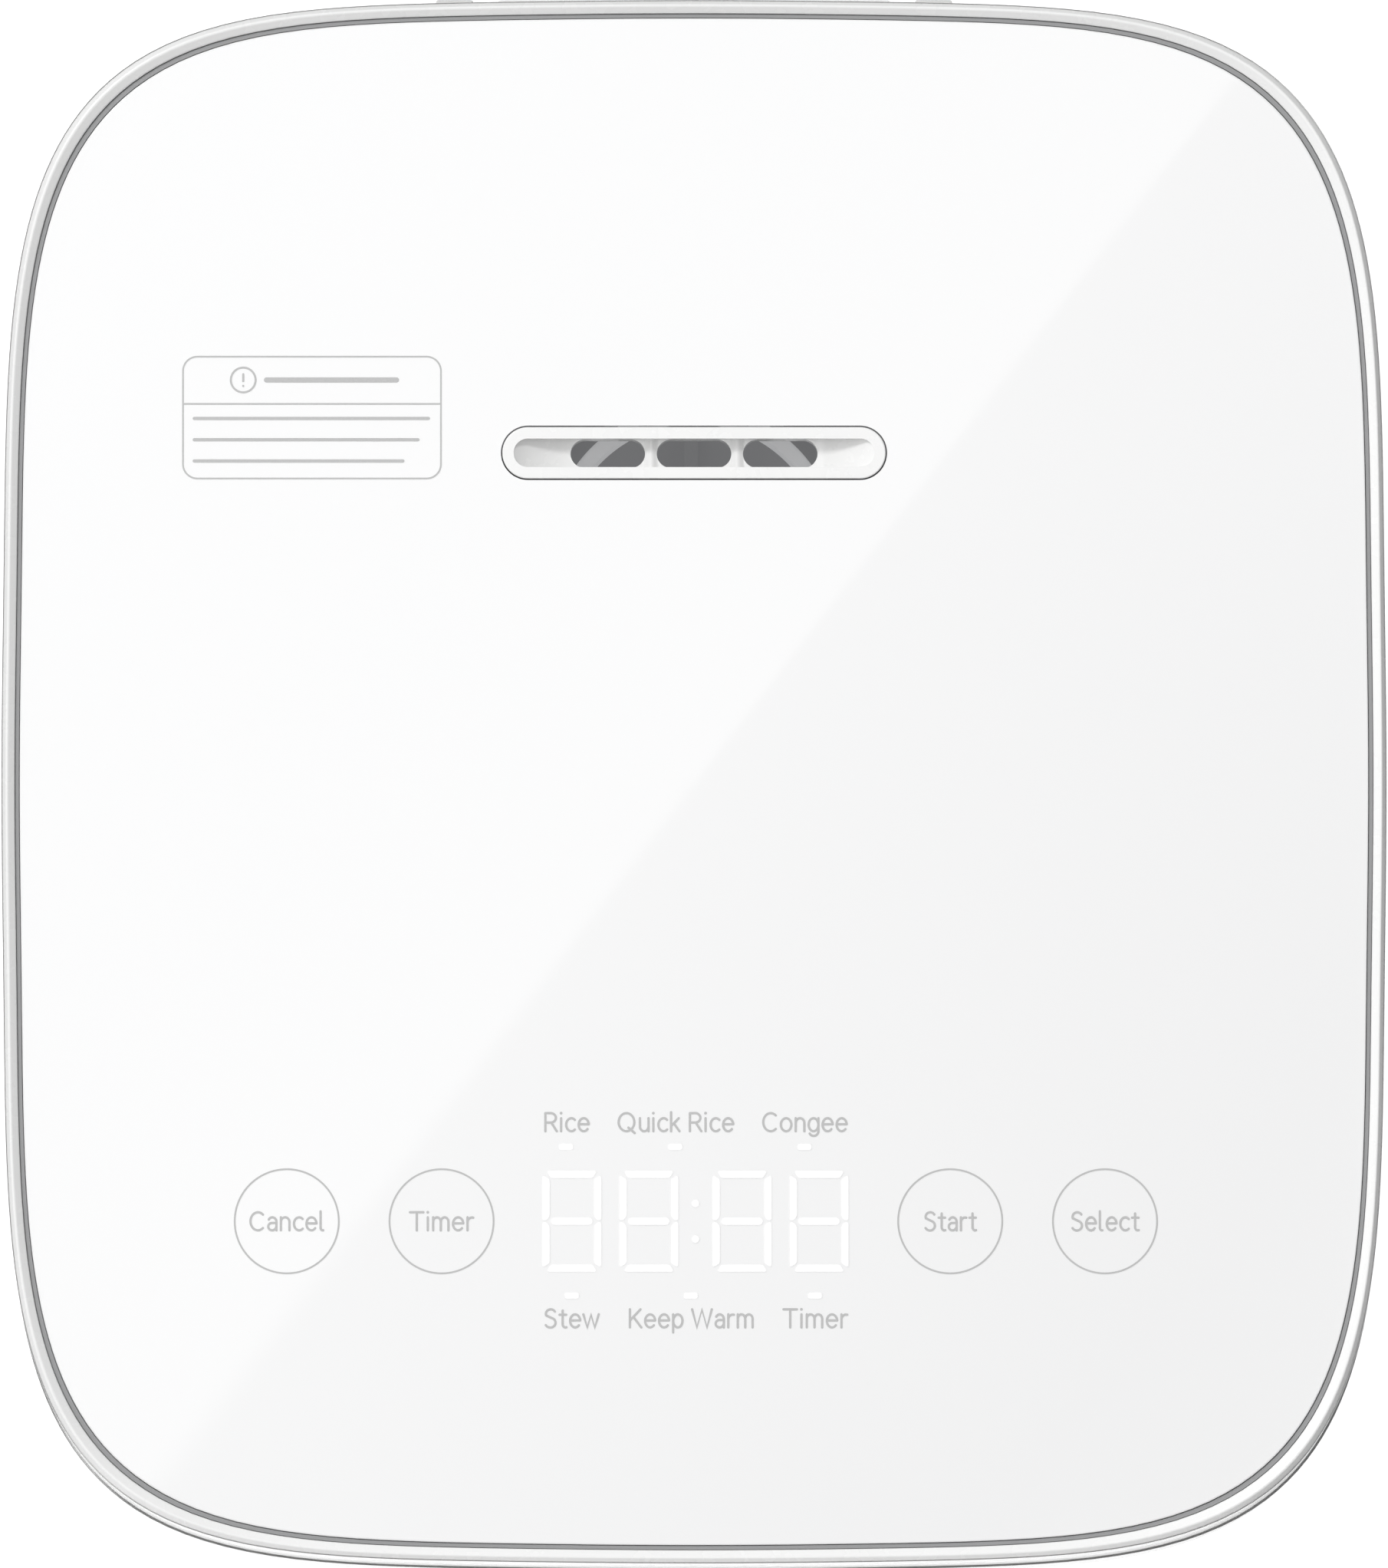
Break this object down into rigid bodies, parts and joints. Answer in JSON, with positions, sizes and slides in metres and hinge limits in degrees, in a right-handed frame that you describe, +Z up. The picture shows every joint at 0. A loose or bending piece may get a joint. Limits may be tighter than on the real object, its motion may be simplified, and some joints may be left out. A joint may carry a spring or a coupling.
{
  "type": "rice cooker",
  "caption": "Electric rice cooker with a rounded-square white body, hinged lid with a flush touch panel and display, lift-out steam vent, removable-style pot and front release button.",
  "frame": {"origin": "centre of the footprint in plan, on the surface the feet stand on", "axes": "+Z up, -Y the front with the release button, +Y the hinge side, +X the cooker's right as seen from the front"},
  "size_m": [0.2378, 0.27, 0.2],
  "materials": {
    "white_shell": "satin white moulded plastic",
    "panel_white": "clear-faced glossy white panel",
    "trim_grey": "satin grey",
    "collar_white": "fine satin off-white",
    "dark_plastic": "fine textured dark grey",
    "chamber_grey": "matte grey heat-resistant plastic",
    "steel": "brushed stainless steel",
    "spring_steel": "bright spring wire",
    "aluminium": "satin aluminium",
    "non_stick": "dark non-stick coating on aluminium",
    "silicone": "translucent grey silicone",
    "foot_rubber": "matte dark rubber",
    "board_green": "green circuit board",
    "brass": "plated brass"
  },
  "bodies": {
    "housing": {"base_cover": "dark_plastic", "base_screw_back_left": "steel", "base_screw_back_right": "steel", "base_screw_front_left": "steel", "base_screw_front_right": "steel", "board_capacitor": "trim_grey", "board_relay": "dark_plastic", "board_transformer": "dark_plastic", "foot_back_left": "foot_rubber", "foot_back_right": "foot_rubber", "foot_front_left": "foot_rubber", "foot_front_right": "foot_rubber", "heater_plate": "aluminium", "hinge_pin": "steel", "inlet_pin_1": "steel", "inlet_pin_2": "steel", "inlet_pin_3": "steel", "inner_chamber": "steel", "inner_pot": "non_stick", "latch_housing": "dark_plastic", "outer_body": "white_shell", "power_board": "board_green", "power_inlet": "dark_plastic", "sensor_spring": "spring_steel", "side_heater_band": "aluminium", "thermal_fuse": "brass", "top_collar": "collar_white", "latch_spring": "spring_steel"},
    "lid": {"lid_shell": "white_shell", "lid_spring": "spring_steel", "lid_trim": "trim_grey", "top_panel": "panel_white", "lid_inner_frame": "collar_white", "inner_lid": "aluminium", "seal_ring": "silicone", "steam_grommet": "silicone", "steam_chamber": "chamber_grey", "vent_gasket": "foot_rubber", "touch_board": "board_green", "display_module": "dark_plastic", "lid_sensor": "steel", "lid_catch": "dark_plastic", "touch_spring_1": "spring_steel", "touch_spring_2": "spring_steel", "touch_spring_3": "spring_steel", "touch_spring_4": "spring_steel"},
    "latch": {"release_button": "white_shell", "latch_slide": "dark_plastic"},
    "sensor": {"sensor_cap": "aluminium"},
    "steam_vent": {"vent_cap": "white_shell"}
  },
  "joints": [
    {"name": "lid_hinge", "type": "hinge", "parent": "housing", "child": "lid", "pos_m": [0, 0.128, 0.158], "axis": [-1, 0, 0], "range_deg": [0, 90]},
    {"name": "vent_lift", "type": "slide", "parent": "lid", "child": "steam_vent", "axis": [0, 0, 1], "range_m": [0, 0.03]},
    {"name": "release_press", "type": "slide", "parent": "housing", "child": "latch", "axis": [0, 1, 0], "range_m": [0, 0.003], "stiffness_N_per_m": 600, "springref_m": -0.003, "deforming": ["latch_spring"]},
    {"name": "sensor_press", "type": "slide", "parent": "housing", "child": "sensor", "axis": [0, 0, 1], "range_m": [-0.002, 0], "stiffness_N_per_m": 400, "springref_m": 0.003, "deforming": ["sensor_spring"]}
  ]
}
